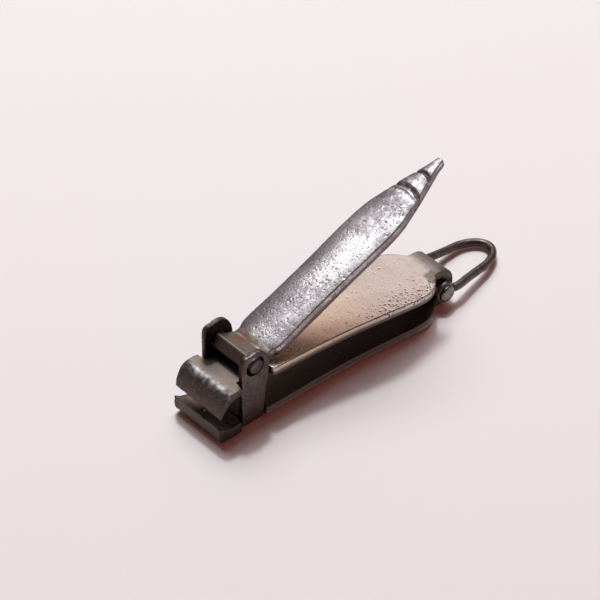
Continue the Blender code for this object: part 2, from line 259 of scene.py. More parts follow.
def bar(name, rows, radius, flat_count, crown=None, arc_count=4):
    """A closed bar through rounded sections, one for each row of outer x, z, inner x, z, half width.

    crown gives how far the middle of the outer face stands over its edges, row by row.
    """
    points, edges, faces_up = [], [], []
    for k, (ox, oz, ix, iz, half) in enumerate(rows):
        thick = math.hypot(ix - ox, iz - oz)
        y, depth, edge = ring_shape(half, thick, radius, flat_count, arc_count)
        top = np.arange(len(y)) < len(y) // 2
        if crown is not None:
            depth = depth + np.where(top, crown[k] * (y / half) ** 2, 0.0)
        share = depth / thick
        points.append(np.column_stack([ox + (ix - ox) * share, y, oz + (iz - oz) * share]))
        edges.append(edge)
        faces_up.append(top * (1.0 - edge))
    count = len(points[0])
    faces = []
    sections = len(points)
    for k in range(sections - 1):
        a, b = k * count, (k + 1) * count
        for i in range(count):
            j = (i + 1) % count
            faces.append((a + i, a + j, b + j, b + i))
    for first in (0, (sections - 1) * count):
        extra, more = end_grid(points[first // count], first, sum(len(block) for block in points))
        points.append(extra)
        faces += more
        edges.append(np.zeros(len(extra)))
        faces_up.append(np.zeros(len(extra)))
    obj = mesh_object(name, np.vstack(points), faces)
    face_out(obj)
    paint(obj, "edge", np.concatenate(edges))
    paint(obj, "face", np.concatenate(faces_up))
    return obj


def face_out(obj):
    """Makes the faces of a closed mesh point outwards."""
    work = bmesh.new()
    work.from_mesh(obj.data)
    bmesh.ops.recalc_face_normals(work, faces=work.faces)
    work.to_mesh(obj.data)
    work.free()


def prism(name, outline, axis, low, high):
    """An outline in XZ drawn out along Y, or in YZ drawn out along X."""
    def place(u, v, w):
        return (u, w, v) if axis == "Y" else (w, u, v)
    count = len(outline)
    points = [place(u, v, low) for u, v in outline] + [place(u, v, high) for u, v in outline]
    faces = [tuple(range(count)), tuple(range(2 * count - 1, count - 1, -1))]
    for i in range(count):
        j = (i + 1) % count
        faces.append((i, i + count, j + count, j))
    obj = mesh_object(name, points, faces)
    face_out(obj)
    return obj


def turned(name, profile, centre, sides):
    """A profile of radius and Y turned about an axis along Y, closed at both ends."""
    points, faces = [], []
    for radius, y in profile:
        for i in range(sides):
            angle = 2.0 * math.pi * i / sides
            points.append((centre[0] + radius * math.cos(angle), y, centre[1] + radius * math.sin(angle)))
    for k in range(len(profile) - 1):
        for i in range(sides):
            j = (i + 1) % sides
            faces.append((k * sides + i, k * sides + j, (k + 1) * sides + j, (k + 1) * sides + i))
    for k, y in ((0, profile[0][1]), (len(profile) - 1, profile[-1][1])):
        points.append((centre[0], y, centre[1]))
        tip = len(points) - 1
        faces += [(tip, k * sides + i, k * sides + (i + 1) % sides) for i in range(sides)]
    obj = mesh_object(name, points, faces)
    face_out(obj)
    return obj


def tube(name, path, radii, sides):
    """A wire along a path in XYZ, with its own radius at each point of the path."""
    path = np.asarray(path, float)
    ahead = np.gradient(path, axis=0)
    ahead /= np.linalg.norm(ahead, axis=1)[:, None]
    up = np.array([0.0, 0.0, 1.0])
    points, faces = [], []
    for p, d, radius in zip(path, ahead, radii):
        side = np.cross(up, d)
        side /= np.linalg.norm(side)
        over = np.cross(d, side)
        for angle in np.arange(sides) * 2.0 * math.pi / sides:
            points.append(p + radius * (math.cos(angle) * side + math.sin(angle) * over))
    for k in range(len(path) - 1):
        for i in range(sides):
            j = (i + 1) % sides
            faces.append((k * sides + i, k * sides + j, (k + 1) * sides + j, (k + 1) * sides + i))
    faces.append(tuple(range(sides)))
    faces.append(tuple(range((len(path) - 1) * sides, len(path) * sides)))
    obj = mesh_object(name, points, faces)
    face_out(obj)
    return obj


def boolean(obj, tool, operation):
    step = obj.modifiers.new(operation, "BOOLEAN")
    step.operation = operation
    step.solver = "EXACT"
    step.object = tool
    apply_modifiers(obj)
    bpy.data.objects.remove(tool, do_unlink=True)


def apply_modifiers(obj):
    bpy.context.view_layer.update()
    graph = bpy.context.evaluated_depsgraph_get()
    mesh = bpy.data.meshes.new_from_object(obj.evaluated_get(graph))
    obj.modifiers.clear()
    obj.data = mesh


def worn_solid(obj, voxel, rounds):
    """Turns sharp CAD-like edges into softly worn ones on an even fine mesh."""
    remesh = obj.modifiers.new("Remesh", "REMESH")
    remesh.mode = "VOXEL"
    remesh.voxel_size = voxel * MM
    smooth = obj.modifiers.new("Smooth", "SMOOTH")
    smooth.factor = 0.5
    smooth.iterations = rounds
    apply_modifiers(obj)
    obj.data.shade_smooth()


def push(obj, amounts):
    """Moves each point along its normal by that many millimetres."""
    set_points(obj, points_of(obj) + normals_of(obj) * np.asarray(amounts)[:, None])


def pits(obj, where, count, radius, depth, seed, stretch=1.0, layer="pit"):
    """Presses small corrosion pits into the mesh, and stores them in a layer for the material, if any.

    where holds a weight for each point: pits land more often where it is high.
    """
    draw = np.random.default_rng(seed)
    points = points_of(obj)
    near = points / np.array([stretch, 1.0, stretch])
    tree = kdtree.KDTree(len(near))
    for i, p in enumerate(near):
        tree.insert(p, i)
    tree.balance()
    chance = np.clip(where, 0.0, None)
    centres = draw.choice(len(points), size=count, p=chance / chance.sum())
    sizes = radius[0] + (radius[1] - radius[0]) * draw.random(count) ** 2
    dents = np.zeros(len(points))
    marks = np.zeros(len(points))
    for centre, size in zip(centres, sizes):
        strength = 0.45 + 0.55 * draw.random()
        for _, i, distance in tree.find_range(near[centre], size):
            bowl = (1.0 - (distance / size) ** 2) ** 2
            dents[i] = max(dents[i], bowl * depth * strength * size / radius[1])
            marks[i] = max(marks[i], bowl * strength)
    push(obj, -dents)
    if layer is None:
        return
    old = obj.data.attributes.get(layer)
    if old:
        before = np.zeros(len(points))
        old.data.foreach_get("value", before)
        marks = np.maximum(marks, before)
    paint(obj, layer, marks)


# ---------------------------------------------------------------- materials

class Steel:
    """Builds one aged-steel material out of procedural layers."""

    def __init__(self, name, colour, roughness):
        self.material = bpy.data.materials.new(name)
        self.material.use_nodes = True
        self.tree = self.material.node_tree
        self.shader = self.tree.nodes["Principled BSDF"]
        self.shader.inputs["Metallic"].default_value = 1.0
        self.rest = self.node("ShaderNodeAttribute", attribute_name="rest").outputs["Vector"]
        self.colour = colour
        self.roughness = roughness

    def node(self, kind, **settings):
        made = self.tree.nodes.new(kind)
        for key, value in settings.items():
            setattr(made, key, value)
        return made

    def link(self, value, socket):
        """Sets a socket to a number or colour, or links it to another node's output."""
        if isinstance(value, bpy.types.NodeSocket):
            self.tree.links.new(value, socket)
        elif isinstance(value, tuple) and len(value) == 3 and socket.type == "RGBA":
            socket.default_value = (*value, 1.0)
        else:
            socket.default_value = value

    def layer(self, name):
        """A number painted on the mesh."""
        return self.node("ShaderNodeAttribute", attribute_name=name).outputs["Fac"]

    def noise(self, size, detail=3.0, rough=0.55, stretch=(1.0, 1.0, 1.0), distortion=0.0):
        """Noise with features of about that many millimetres."""
        mapping = self.node("ShaderNodeMapping")
        mapping.inputs["Scale"].default_value = tuple(1.0 / (size * s) for s in stretch)
        self.link(self.rest, mapping.inputs["Vector"])
        made = self.node("ShaderNodeTexNoise")
        self.link(mapping.outputs["Vector"], made.inputs["Vector"])
        made.inputs["Scale"].default_value = 1.0
        made.inputs["Detail"].default_value = detail
        made.inputs["Roughness"].default_value = rough
        made.inputs["Distortion"].default_value = distortion
        return made.outputs["Fac"]

    def ramp(self, value, low, high, start=0.0, end=1.0):
        """Goes smoothly from start to end as the value goes from low to high."""
        made = self.node("ShaderNodeMapRange", interpolation_type="SMOOTHSTEP")
        for key, number in (("From Min", low), ("From Max", high), ("To Min", start), ("To Max", end)):
            made.inputs[key].default_value = number
        self.link(value, made.inputs["Value"])
        return made.outputs["Result"]

    def math(self, operation, a, b, clamp=False):
        made = self.node("ShaderNodeMath", operation=operation, use_clamp=clamp)
        self.link(a, made.inputs[0])
        self.link(b, made.inputs[1])
        return made.outputs["Value"]

    def mix(self, amount, a, b):
        made = self.node("ShaderNodeMix", data_type="RGBA")
        self.link(amount, made.inputs["Factor"])
        self.link(a, made.inputs[6])
        self.link(b, made.inputs[7])
        return made.outputs[2]

    def blend_number(self, amount, a, b):
        made = self.node("ShaderNodeMix", data_type="FLOAT")
        self.link(amount, made.inputs["Factor"])
        self.link(a, made.inputs[2])
        self.link(b, made.inputs[3])
        return made.outputs[0]

    def cover(self, amount, colour, roughness):
        """Lays a tone over what is there."""
        self.colour = self.mix(amount, self.colour, colour)
        self.roughness = self.blend_number(amount, self.roughness, roughness)

    def finish(self, bumps):
        """bumps is a list of height value, strength and depth in millimetres."""
        normal = None
        for height, strength, depth in bumps:
            bump = self.node("ShaderNodeBump")
            bump.inputs["Strength"].default_value = strength
            bump.inputs["Distance"].default_value = depth * MM
            self.link(height, bump.inputs["Height"])
            if normal:
                self.link(normal, bump.inputs["Normal"])
            normal = bump.outputs["Normal"]
        self.link(self.colour, self.shader.inputs["Base Color"])
        self.link(self.roughness, self.shader.inputs["Roughness"])
        if normal:
            self.link(normal, self.shader.inputs["Normal"])
        return self.material


def lever_steel():
    steel = Steel("lever_worn_steel", (0.60, 0.55, 0.56), 0.27)
    face = steel.layer("face")
    patches = steel.ramp(steel.noise(4.0, 3.0), 0.40, 0.62)
    steel.cover(patches, (0.31, 0.275, 0.29), 0.33)
    clean = steel.ramp(steel.noise(0.5, 4.0, 0.75, (1.6, 1.0, 1.6)), 0.54, 0.64)
    steel.cover(clean, (0.62, 0.60, 0.62), 0.24)
    steel.cover(steel.layer("tip"), (0.17, 0.155, 0.165), 0.42)
    # The sides were never polished and have gone brown.
    flank = steel.math("SUBTRACT", 1.0, face, True)
    steel.cover(flank, (0.19, 0.14, 0.12), 0.42)
    # Tan film on the block between the ears.
    steel.cover(steel.layer("film"), (0.20, 0.165, 0.135), 0.5)
    mottle = steel.ramp(steel.noise(0.42, 4.0, 0.75, (1.5, 1.0, 1.5)), 0.50, 0.64)
    steel.cover(steel.math("MULTIPLY", mottle, 0.65), (0.20, 0.17, 0.17), 0.42)
    fine = steel.noise(0.22, 3.0, 0.6, (1.3, 1.0, 1.3))
    clusters = steel.ramp(steel.noise(1.7, 3.0, 0.6, (1.5, 1.0, 1.5)), 0.40, 0.62, 0.35, 1.0)
    specks = steel.math("MULTIPLY", steel.ramp(fine, 0.54, 0.63), clusters)
    steel.cover(specks, (0.11, 0.095, 0.09), 0.5)
    steel.cover(steel.layer("rust"), (0.22, 0.085, 0.045), 0.6)
    pitted = steel.math("MULTIPLY", steel.ramp(steel.layer("pit"), 0.15, 0.7), 0.8)
    steel.cover(pitted, (0.10, 0.085, 0.08), 0.5)
    steel.cover(steel.math("MULTIPLY", steel.layer("edge"), 0.35), (0.60, 0.58, 0.57), 0.3)
    # Grime in the grooves and the bend, and painted shade on the nose's front face.
    steel.cover(steel.layer("grime_and_shade"), (0.085, 0.062, 0.05), 0.5)
    return steel.finish([(fine, 0.12, 0.02)])


def leaf_steel():
    steel = Steel("body_worn_steel", (0.58, 0.525, 0.485), 0.25)
    face = steel.layer("face")
    patches = steel.ramp(steel.noise(7.0, 2.0), 0.40, 0.65)
    steel.cover(patches, (0.50, 0.445, 0.405), 0.28)
    steel.cover(steel.layer("tan"), (0.62, 0.47, 0.33), 0.25)
    # Painted shade and a rougher finish where the rear fold rolls over.
    steel.cover(steel.layer("dull"), (0.20, 0.17, 0.15), 0.6)
    inside = steel.math("SUBTRACT", 1.0, face, True)
    steel.cover(inside, (0.17, 0.135, 0.12), 0.5)
    steel.cover(steel.layer("jaw"), (0.045, 0.036, 0.034), 0.48)
    worn = steel.ramp(steel.noise(0.7, 4.0, 0.7), 0.50, 0.64)
    steel.cover(steel.math("MULTIPLY", worn, steel.layer("jaw")), (0.13, 0.11, 0.105), 0.36)
    steel.cover(steel.layer("saddle"), (0.14, 0.11, 0.095), 0.5)
    # Painted shade between the leaves, on the rear fold and on the jaws' front faces.
    steel.cover(steel.layer("painted_shade"), (0.11, 0.083, 0.07), 0.5)
    mottle = steel.ramp(steel.noise(0.7, 4.0, 0.7), 0.48, 0.70)
    mottled = steel.blend_number(steel.layer("painted_shade"), 0.22, 0.75)
    steel.cover(steel.math("MULTIPLY", mottle, mottled), (0.10, 0.085, 0.08), 0.55)
    fine = steel.noise(0.25, 3.0, 0.6)
    grain = steel.ramp(fine, 0.58, 0.70)
    grained = steel.blend_number(steel.layer("painted_shade"), 0.12, 0.6)
    steel.cover(steel.math("MULTIPLY", grain, grained), (0.33, 0.29, 0.26), 0.5)
    steel.cover(steel.ramp(steel.layer("pit"), 0.08, 0.45), (0.03, 0.02, 0.016), 0.6)
    steel.cover(steel.math("MULTIPLY", steel.layer("edge"), 0.5), (0.13, 0.105, 0.09), 0.5)
    # Rubbed metal with a painted highlight along the jaw's crest and at the upper leaf's near front corner.
    steel.cover(steel.layer("bright"), (0.42, 0.40, 0.40), 0.38)
    return steel.finish([(fine, 0.1, 0.03), (steel.noise(2.2, 3.0), 0.1, 0.2)])


def brown_steel(name, colour, roughness, shine, tone_size):
    """Dull browned steel with lighter rubbed spots."""
    steel = Steel(name, colour, roughness)
    tone = steel.ramp(steel.noise(tone_size, 3.0), 0.38, 0.66)
    steel.cover(tone, tuple(0.62 * c for c in colour), roughness + 0.08)
    mottle = steel.ramp(steel.noise(0.5, 4.0, 0.7), 0.50, 0.70)
    steel.cover(steel.math("MULTIPLY", mottle, 0.55), tuple(0.4 * c for c in colour), 0.6)
    rubbed = steel.ramp(steel.noise(1.3, 3.0, 0.6, distortion=0.4), 0.56, 0.72)
    steel.cover(steel.math("MULTIPLY", rubbed, 0.6), shine, roughness - 0.1)
    fine = steel.noise(0.2, 3.0, 0.6)
    steel.cover(steel.layer("rust"), (0.13, 0.052, 0.036), 0.6)
    # On the yoke this is painted shade on the ears' inner faces.
    steel.cover(steel.layer("grime_and_shade"), (0.05, 0.038, 0.04), 0.5)
    pitted = steel.math("MULTIPLY", steel.ramp(steel.layer("pit"), 0.2, 0.8), 0.6)
    steel.cover(pitted, tuple(0.3 * c for c in colour), 0.6)
    return steel.finish([(fine, 0.25, 0.04), (steel.noise(1.0, 3.0), 0.3, 0.15)])


# ---------------------------------------------------------------- the folded body strip

STRIP_SPACING = 0.19             # between the sections of its mesh
STRIP_COLUMNS = 62               # faces across each side
STRIP_THICK = 1.5
STRIP_EDGE = 0.16                # radius of its long edges
BEND_RISE = 0.08                 # how far the upper leaf's end rises to meet the bend
BEND_SQUARE = 0.85               # power that makes the bend squarer than a half circle
BEND_REACH = 0.985               # how far back it reaches, as a share of its radius
LEAF_ORIGIN = 10.0               # station from which both leaves' curves are measured
LEAF_UNIT = 10.0                 # length over which their rise and fall are given
UPPER_TOP = (9.47, 0.66, 0.03)   # height there, fall over one unit, and its growth
LOWER_BOTTOM = (0.75, 0.0579)    # height there, and how the fall grows
JAW_HALF = 5.2
WAIST_HALF = 3.55


def upper_top(x):
    height, fall, bend = UPPER_TOP
    along = (x - LEAF_ORIGIN) / LEAF_UNIT
    return height - fall * along - bend * along * along


def lower_bottom(x):
    height, bend = LOWER_BOTTOM
    along = (x - LEAF_ORIGIN) / LEAF_UNIT
    return height - bend * along * along


def flank():
    """Stations and half widths of both leaves behind the waist."""
    knots = [(14.0, 5.25), (20.0, 5.25), (26.0, 5.38), (32.0, 5.75), (36.0, 6.0), (39.3, 6.2),
             (41.6, 6.12), (43.2, 5.62), (44.5, 4.75), (45.9, NECK_HALF)]
    return catmull(knots, 8)


def leaf_half(x, waist_end):
    """Half width of a leaf whose waist ends at that station."""
    line = flank()
    stations = np.concatenate([[waist_end, waist_end + 0.5], line[:, 0]])
    return np.interp(x, stations, np.concatenate([[4.95, 5.25], line[:, 1]]))


def strip_rows():
    """Sections of the strip from the lower jaw, round the rear fold, to the upper jaw's edge."""
    lower_jaw = catmull([(0.0, 1.4, 0.02, 3.3, JAW_HALF), (0.12, 0.95, 0.16, 3.37, JAW_HALF),
                         (0.42, 0.62, 0.62, 3.02, JAW_HALF), (0.9, 0.47, 1.3, 2.62, JAW_HALF),
                         (2.6, 0.45, 2.6, 2.36, JAW_HALF), (4.45, 0.47, 4.45, 2.3, JAW_HALF)], 8)
    lower_waist = [(4.6, 0.98, 4.6, 2.3, WAIST_HALF), (9.35, 0.98, 9.35, 2.26, WAIST_HALF)]
    stations = np.arange(9.45, FOLD[0] - 0.2, 0.25)
    lower = [(x, lower_bottom(x), x, lower_bottom(x) + STRIP_THICK, leaf_half(x, 9.4)) for x in stations]
    fold = []
    for angle in np.radians(np.linspace(-90.0, 90.0, 40)):
        c, s = max(math.cos(angle), 0.0), math.sin(angle)
        outer, inner = FOLD[1], FOLD[1] - STRIP_THICK
        square_c, square_s = c ** BEND_SQUARE, math.copysign(abs(s) ** BEND_SQUARE, s)
        fold.append((FOLD[0] + BEND_REACH * outer * square_c, FOLD[1] + outer * square_s,
                     FOLD[0] + inner * c, FOLD[1] + inner * s, NECK_HALF))
    stations = np.arange(FOLD[0] - 0.4, 10.6, -0.25)
    upper = []
    for x in stations:
        top = upper_top(x) + BEND_RISE * smoothstep(41.0, FOLD[0], x)
        upper.append((x, top, x, top - STRIP_THICK, leaf_half(x, 10.6)))
    upper_waist = [(10.5, 9.4, 10.5, 7.93, WAIST_HALF), (8.2, 9.02, 8.2, 7.66, WAIST_HALF),
                   (6.3, 8.92, 6.3, 7.6, WAIST_HALF), (4.75, 8.93, 4.7, 7.6, WAIST_HALF)]
    upper_jaw = catmull([(4.55, 8.93, 4.5, 7.6, JAW_HALF), (3.4, 8.98, 3.6, 7.67, JAW_HALF),
                         (2.5, 8.95, 2.9, 7.5, JAW_HALF), (1.8, 8.68, 2.3, 7.22, JAW_HALF),
                         (1.3, 8.2, 1.75, 6.8, JAW_HALF), (0.85, 7.4, 1.3, 6.25, JAW_HALF),
                         (0.47, 6.4, 0.85, 5.72, JAW_HALF), (0.3, 5.27, 0.5, 5.27, JAW_HALF)], 8)
    rows = np.vstack([lower_jaw, lower_waist, lower, fold, upper, upper_waist, upper_jaw])
    rows = resample(rows, STRIP_SPACING)
    return soften(rows, STRIP_SPACING, 0.14)


def corrode_strip(strip, points, upper, jaw):
    """Slow dents, pits along the near edge of the upper leaf, and a rough skin on both jaws."""
    x, y = points[:, 0], points[:, 1]
    push(strip, 0.035 * waves(points, 6.0, 1) * (1.0 - jaw)
         + jaw * (0.015 * waves(points, 1.8, 2) + 0.005 * waves(points, 0.45, 3)))
    near_edge = smoothstep(1.0, -5.0, y) * smoothstep(24.0, 34.0, x) * (1 - smoothstep(44.5, 46.5, x))
    weights = layer_of(strip, "face") * upper * (1.0 - jaw) * (0.02 + near_edge ** 3) * (x > 11.0)
    pits(strip, weights, 260, (0.11, 0.26), 0.055, 11)
    pits(strip, jaw * (1.0 - upper) + 1e-9, 170, (0.25, 0.55), 0.2, 13, layer=None)


def paint_strip(strip, points, upper, jaw):
    """Marks where the strip is tan, where painted shade darkens it, and where it is rubbed bright and
    carries a painted highlight.
    """
    x, y, z = points.T
    face = layer_of(strip, "face")
    tan = upper * (1.0 - smoothstep(20.0, 38.0, x)) * smoothstep(9.0, 12.0, x)
    paint(strip, "tan", tan * 0.8)
    paint(strip, "jaw", jaw)
    # Painted shade on the inner faces between the leaves.
    inner = (1.0 - face) * (1.0 - layer_of(strip, "edge")) * (np.abs(y) < leaf_half(x, 9.4) - 0.3)
    ragged = waves(points, 1.0, 5)
    fold_shade = smoothstep(43.6, 44.6, x + 0.5 * ragged) * smoothstep(-1.6, -2.5, y + 0.5 * ragged)
    fold_shade = np.maximum(fold_shade, smoothstep(46.0, 47.0, x) * smoothstep(5.9, 5.0, z))
    # Painted shade, with a rougher finish, where the rear fold rolls over.
    paint(strip, "dull", upper * smoothstep(44.6, 46.8, x + 0.3 * ragged) * (1.0 - jaw))
    saddle = jaw * smoothstep(2.5, 3.4, x + 0.4 * ragged) * smoothstep(8.5, 8.8, z)
    waist = smoothstep(4.5, 5.0, x) * (1.0 - smoothstep(7.0, 9.0, x)) * upper
    paint(strip, "saddle", np.maximum(saddle, waist))
    front_shade = jaw * (1.0 - smoothstep(8.3, 8.9, z + 0.25 * waves(points, 0.8, 4)))
    # Painted shade between the leaves, on the fold's near corner and underside, and on the jaws' front
    # faces.
    darkest = np.maximum.reduce([inner, 0.85 * fold_shade, 0.6 * front_shade])
    paint(strip, "painted_shade", np.clip(darkest, 0.0, 1.0))
    # Rubbed metal along the jaw's crest, with a painted highlight there and at the leaf's near front
    # corner.
    crest = np.exp(-((z - 8.75) / 0.35) ** 2) * np.exp(-((x - 1.9) / 0.9) ** 2)
    grain = smoothstep(-0.35, 0.5, waves(points, 1.5, 6) + 0.5 * waves(points, 0.6, 7))
    corner = np.exp(-((x - 10.9) / 0.45) ** 2 - ((y + 5.1) / 0.45) ** 2) * smoothstep(8.6, 9.1, z)
    paint(strip, "bright", np.clip(0.8 * crest * grain * jaw + corner, 0.0, 1.0))


def body_strip():
    strip = bar("body_strip", strip_rows(), STRIP_EDGE, STRIP_COLUMNS)
    points = points_of(strip)
    upper = smoothstep(4.5, 6.0, points[:, 2])
    jaw = 1.0 - smoothstep(4.6, 5.6, points[:, 0])
    corrode_strip(strip, points, upper, jaw)
    paint_strip(strip, points, upper, jaw)
    keep_rest(strip)
    strip.data.materials.append(leaf_steel())
    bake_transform(strip)
    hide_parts("lower_leaf", "upper_leaf")
    return strip


# ---------------------------------------------------------------- the lever

ARM_START = 10.4                 # station of the bend, where the arm starts
ARM_END = 49.1
ARM_LOW = 10.85                  # heights of the top edges at both ends
ARM_HIGH = 26.15
ARM_BOW = 0.6                    # four times what the edges rise over a straight line
ARM_SLOPE = math.atan2(ARM_HIGH - ARM_LOW, ARM_END - ARM_START)
ARM_THICK = 2.1                  # at the bend
ARM_THINNING = 0.75              # how much thinner it is at the tip
ARM_SPACING = 0.11               # between the sections of its mesh
ARM_COLUMNS = 64                 # faces across each side
ARM_EDGE = 0.17                  # radius of its long edges
END_RADIUS = 0.16
HUB_RADIUS = 1.6
NOSE_HALF = 3.62
BORE_RADIUS = PIN_RADIUS + 0.05
BORE_REACH = 6.0
# Lowest that the arm's under side may be, so that the pressed lever clears the leaf.
HEEL_LINE = ((10.4, 9.6), (11.5, 9.62), (12.2, 9.74), (13.4, 10.15), (17.0, 11.54), (20.0, 12.69),
             (24.0, 14.1))
GROOVES = ((42.4, 0.62, 0.40), (45.6, 0.50, 0.34))     # station, half width and depth


def arm_edge(x):
    """Height of the two top edges of the lever's arm."""
    along = (x - ARM_START) / (ARM_END - ARM_START)
    return ARM_LOW + (ARM_HIGH - ARM_LOW) * along + ARM_BOW * along * (1.0 - along)


def arm_half(x):
    knots = [(10.4, 3.62), (11.45, 3.62), (11.8, 3.85), (12.6, 4.03), (14.0, 4.05), (19.0, 3.88),
             (25.0, 3.88), (31.0, 4.0), (35.0, 3.98), (37.5, 3.72), (39.0, 3.33), (42.0, 2.53),
             (45.0, 1.59), (47.2, 0.88), (48.2, 0.68), (48.75, 0.56), (49.05, 0.4)]
    line = catmull(knots, 6)
    return np.interp(x, line[:, 0], line[:, 1])


def crown_height(x):
    """How far the middle of the arm's top stands over its edges."""
    return np.interp(x, [6.0, 10.2, 10.7, 36.0, 42.0, 46.0, 49.1], [0.0, 0.1, 0.48, 0.52, 0.42, 0.25, 0.06])


def lever_rows():
    nose_top = [(7.1, 12.8), (7.9, 12.42), (8.8, 12.0), (9.6, 11.64), (10.4, 11.3)]
    hub = [(PIVOT[0] + HUB_RADIUS * math.cos(a), PIVOT[1] + HUB_RADIUS * math.sin(a))
           for a in np.radians((-150.0, -115.0, -80.0))]
    nose_under = [(6.2, 10.78)] + hub + [(9.4, 9.44)]
    nose = [(*top, *under, NOSE_HALF) for top, under in zip(nose_top, nose_under)]
    heel_x, heel_z = zip(*HEEL_LINE)
    arm = []
    for x in np.arange(10.8, ARM_END, 0.35):
        top = arm_edge(x) + crown_height(x)
        along = (x - ARM_START) / (ARM_END - ARM_START)
        thick = ARM_THICK - ARM_THINNING * along + crown_height(x)
        under_x = x + thick * math.sin(ARM_SLOPE)
        under_z = top - thick * math.cos(ARM_SLOPE)
        under_z = max(under_z, np.interp(under_x, heel_x, heel_z, right=0.0))
        arm.append((x, top, under_x, under_z, arm_half(x)))
    heel = [(10.5, 11.35, 10.6, 9.6, NOSE_HALF)]
    rows = np.vstack([nose, heel, arm])
    rows = soften(resample(rows, ARM_SPACING), ARM_SPACING, 0.16)
    return rounded_end(rows, END_RADIUS, 4)


def cut_grooves(piece, points):
    """Two finger grooves and a step where the crowned field ends, all slightly bowed in plan.

    Moves the points, and gives how far each one went in.
    """
    x, y, z = points.T
    on_arm = np.clip(x, ARM_START, ARM_END)
    drop = np.zeros(len(x))
    half = np.maximum(arm_half(on_arm), 0.3)
    bowed = x + 0.35 * (y / half) ** 2
    for middle, reach, depth in GROOVES:
        drop += depth * np.clip(1.0 - np.abs(bowed - middle) / reach, 0.0, 1.0) ** 1.6
    drop += 0.10 * smoothstep(40.5, 41.3, bowed) * (1 - smoothstep(41.4, 42.2, bowed))
    upper_edge = layer_of(piece, "edge") * (z > arm_edge(on_arm) - 0.6)
    drop *= np.maximum(layer_of(piece, "face"), upper_edge)
    points[:, 0] += drop * math.sin(ARM_SLOPE)
    points[:, 2] -= drop * math.cos(ARM_SLOPE)
    set_points(piece, points)
    return drop


def corrode_lever(piece, points):
    """Slow waves, many fine pits on the arm's field, and a few larger ones anywhere on top."""
    x, y = points[:, 0], points[:, 1]
    face = layer_of(piece, "face")
    push(piece, 0.03 * waves(points, 6.0, 21) + 0.004 * waves(points, 1.1, 22))
    field = face * smoothstep(10.8, 11.8, x) * (1.0 - smoothstep(40.3, 41.3, x))
    patchy = 0.35 + np.clip(waves(points, 3.2, 23) + 0.35, 0.0, 1.0)
    middle = 1.0 - 0.45 * smoothstep(1.2, 3.6, -y)
    pits(piece, field * patchy * middle + 1e-9, 2600, (0.07, 0.19), 0.022, 24, 1.5)
    pits(piece, face * smoothstep(6.5, 7.0, x) + 1e-9, 200, (0.10, 0.24), 0.05, 25, 1.2)


def paint_lever(piece, points, drop):
    """Marks the tan film on the nose, rust, grime, painted shade on the nose's front face and the duller
    tip.
    """
    x, y, z = points.T
    face = layer_of(piece, "face")
    paint(piece, "film", face * (1.0 - smoothstep(11.1, 12.2, x + 1.1 * waves(points, 1.6, 26))))
    rust = np.exp(-((x - 9.9) / 0.8) ** 2 - ((y - 1.4) / 0.9) ** 2) * face
    line = np.exp(-((x - 11.1) / 0.28) ** 2) * face * np.clip(0.4 + waves(points, 1.3, 27), 0.0, 1.0)
    paint(piece, "rust", np.clip(0.8 * rust + 0.6 * line, 0.0, 1.0))
    # Grime in the corner of the bend and in the grooves.
    corner = 0.65 * face * np.exp(-((x - 10.9) / 0.5) ** 2) * smoothstep(-0.5, 0.3, waves(points, 0.9, 28))
    in_groove = smoothstep(0.10, 0.36, drop)
    # Painted shade on the nose's front face.
    nose_front_shade = smoothstep(10.35, 10.15, 0.45 * z + 0.9 * x - 1.7) * (x < 8.0)
    grime_and_shade = np.maximum.reduce([0.5 * in_groove, nose_front_shade, corner])
    paint(piece, "grime_and_shade", np.clip(grime_and_shade, 0.0, 1.0))
    paint(piece, "tip", 0.95 * smoothstep(30.0, 41.0, x) * smoothstep(-0.7, 0.25, waves(points, 0.8, 29)))


def lever():
    rows = lever_rows()
    piece = bar("lever_arm", rows, ARM_EDGE, ARM_COLUMNS, crown_height(rows[:, 0]))
    points = points_of(piece)
    drop = cut_grooves(piece, points)
    corrode_lever(piece, points)
    paint_lever(piece, points, drop)
    bore = turned("bore", [(BORE_RADIUS, -BORE_REACH), (BORE_RADIUS, BORE_REACH)], PIVOT, 64)
    boolean(piece, bore, "DIFFERENCE")
    keep_rest(piece)
    piece.data.materials.clear()
    piece.data.materials.append(lever_steel())
    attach(piece, "lever")
    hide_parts("lever")
    return piece


def lever_pin():
    reach = 4.62                 # half its length, nearly flush with the ears
    profile = [(0.3, -reach + 0.04), (0.8, -reach), (1.12, -reach + 0.02), (PIN_RADIUS, -reach + 0.07)]
    profile += [(PIN_RADIUS, y) for y in np.linspace(-3.9, 3.9, 14)]
    profile += [(r, -y) for r, y in reversed(profile[:4])]
    piece = turned("cross_pin", profile, PIVOT, 56)
    points = points_of(piece)
    push(piece, 0.012 * waves(points, 0.5, 31))
    pits(piece, np.ones(len(points)), 40, (0.08, 0.2), 0.05, 32)
    keep_rest(piece)
    steel = brown_steel("pin_steel", (0.13, 0.105, 0.10), 0.48, (0.22, 0.18, 0.17), 1.5)
    piece.data.materials.append(steel)
    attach(piece, "press")
    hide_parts("lever_pin")
    return piece


# ---------------------------------------------------------------- the yoke

YOKE_OUTER = 4.65
YOKE_INNER = 3.75
YOKE_FLOOR = 0.9                 # top of the strap's floor
BEND_OUTER = 1.1                 # radii of the bends between the floor and the ears
BEND_INNER = 0.35
EAR_CUT_TOP = 16.0               # top of the section, over both ears
NEAR_HOLE = ((7.6, 11.2), 1.68)
FAR_HOLE = ((7.85, 10.93), 1.33)
FINE_VOXEL = 0.085               # fineness of the yoke's and the bail's meshes


def ear_outline(crown):
    """The yoke from the side, under an ear with that crown."""
    front = [(5.0, -1.0), (5.0, 5.0), (5.0, 10.5)]
    back = [(10.42, 11.3), (10.4, 10.4), (10.1, 8.1), (9.65, 5.3), (9.2, 2.5), (8.85, -1.0)]
    return np.vstack([front, catmull(crown, 5), back])


